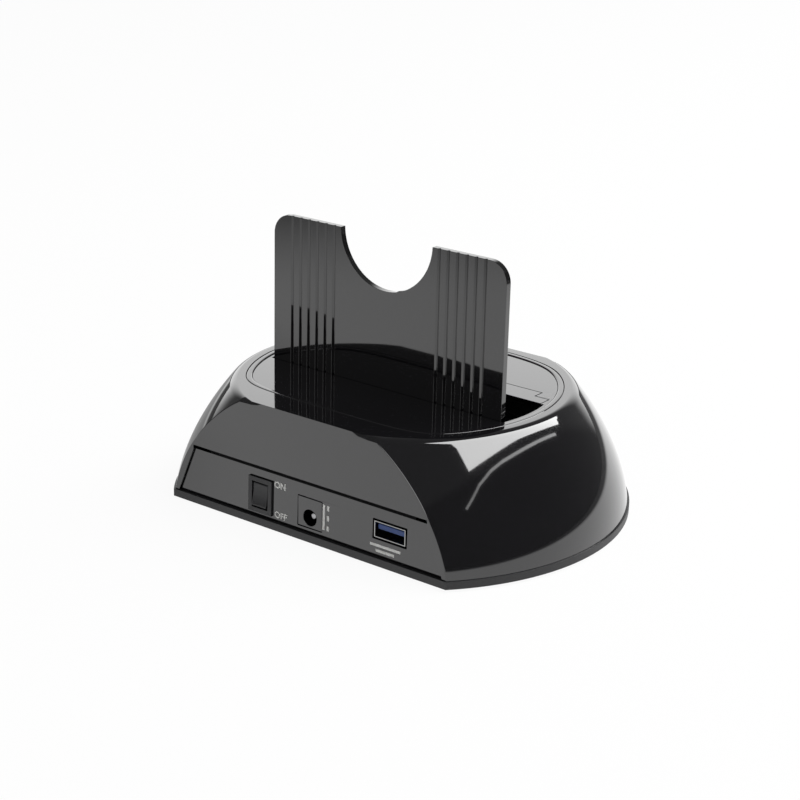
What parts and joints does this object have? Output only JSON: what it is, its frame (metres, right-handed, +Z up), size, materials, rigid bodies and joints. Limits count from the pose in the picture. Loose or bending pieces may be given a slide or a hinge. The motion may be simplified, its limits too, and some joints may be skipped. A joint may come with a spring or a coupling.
{
  "type": "hard drive docking station",
  "caption": "Low domed desktop dock that takes a bare hard drive upright in a top slot, with a sprung flap, a tall support plate, a rocker switch, a power socket and a USB socket.",
  "frame": {"origin": "middle of the footprint on the surface that the dock stands on", "axes": "+X to the right along the long side as seen from the connector face, +Y away from the connector face, +Z up"},
  "size_m": [0.1668, 0.1126, 0.1014],
  "materials": {
    "gloss_black": "high gloss",
    "satin_black": "satin",
    "steel": "plain",
    "nickel": "nickel plated",
    "blue_plastic": "satin",
    "gold": "gold plated",
    "board": "solder mask",
    "chip": "matte",
    "can": "plain",
    "clear": "clear",
    "rubber": "matte"
  },
  "bodies": {
    "housing": {"top_shell": "gloss_black", "rim_ring": "gloss_black", "deck_insert": "gloss_black", "flap_pin": "steel", "flap_spring": "steel", "drive_well": "satin_black", "rear_panel": "gloss_black", "switch_housing": "satin_black", "dc_jack_body": "gloss_black", "dc_jack_pin": "steel", "usb_shell": "nickel", "usb_tongue": "blue_plastic", "usb_contacts": "gold", "main_board": "board", "sata_connector": "satin_black", "sata_contacts": "gold", "bridge_chip": "chip", "flash_chip": "chip", "crystal": "steel", "inductor": "chip", "capacitors": "can", "led_board": "board", "led": "clear", "led_lens": "clear", "bottom_cover": "satin_black", "rubber_feet": "rubber", "case_screws": "steel", "board_screws": "steel", "well_screws": "steel"},
    "rocker": {"switch_rocker": "satin_black"},
    "flap": {"slot_flap": "gloss_black"},
    "plate": {"support_plate": "gloss_black"}
  },
  "joints": [
    {"name": "rocker_tip", "type": "hinge", "parent": "housing", "child": "rocker", "pos_m": [-0.02074, -0.05374, 0.01181], "axis": [1, 0, 0], "range_deg": [0, 14]},
    {"name": "flap_hinge", "type": "hinge", "parent": "housing", "child": "flap", "pos_m": [0, 0.01965, 0.043], "axis": [1, 0, 0], "range_deg": [0, 90], "stiffness_Nm_per_rad": 0.002, "springref_deg": -34.38},
    {"name": "plate_lift", "type": "slide", "parent": "housing", "child": "plate", "axis": [0, 0, 1], "range_m": [0, 0.0117]}
  ]
}
